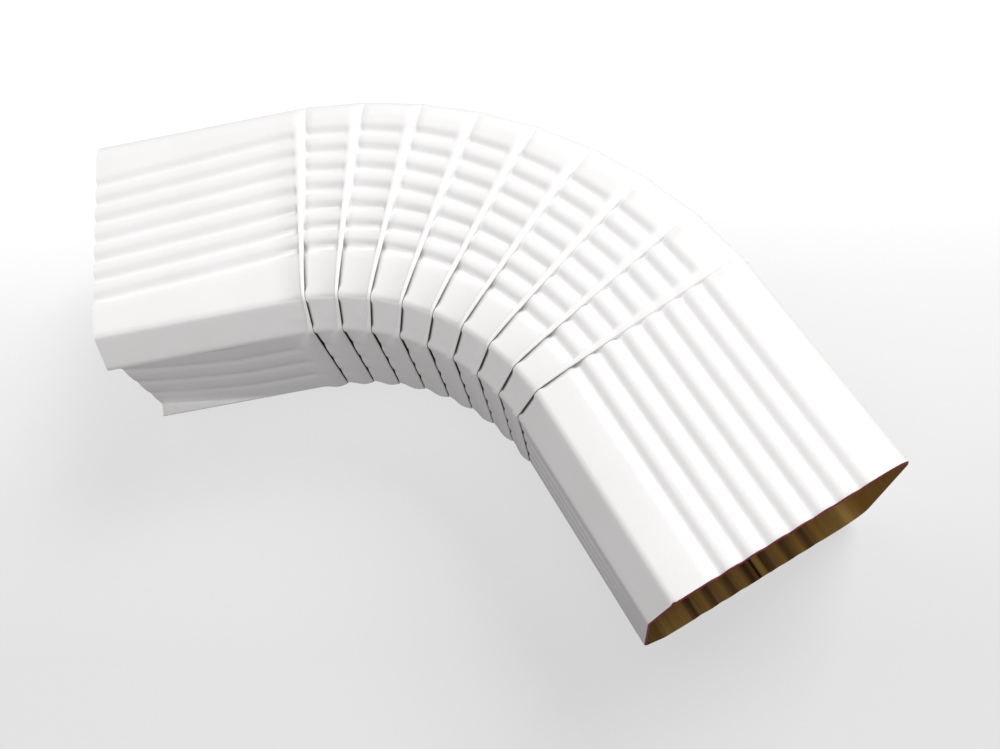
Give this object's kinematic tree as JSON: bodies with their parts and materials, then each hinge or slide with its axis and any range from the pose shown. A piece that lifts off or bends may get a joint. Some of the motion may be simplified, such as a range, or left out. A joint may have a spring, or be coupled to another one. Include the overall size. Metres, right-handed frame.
{
  "type": "downspout elbow",
  "caption": "Pleated sheet-metal elbow for a ribbed rectangular downspout, bent towards a narrow side, with one pinched end that enters the next pipe.",
  "frame": {"origin": "centre of the outlet end's rim, at half the tube's depth", "axes": "+X runs into the elbow along the straight at the outlet, the bend turns towards -Y, +Z is square to the wide faces, one of which the elbow lies on"},
  "size_m": [0.2786, 0.2305, 0.0774],
  "materials": {
    "painted_sheet": "white baked enamel outside, bronze-coloured back coat in the bore"
  },
  "bodies": {
    "root": {"elbow_shell": "painted_sheet"}
  },
  "joints": []
}
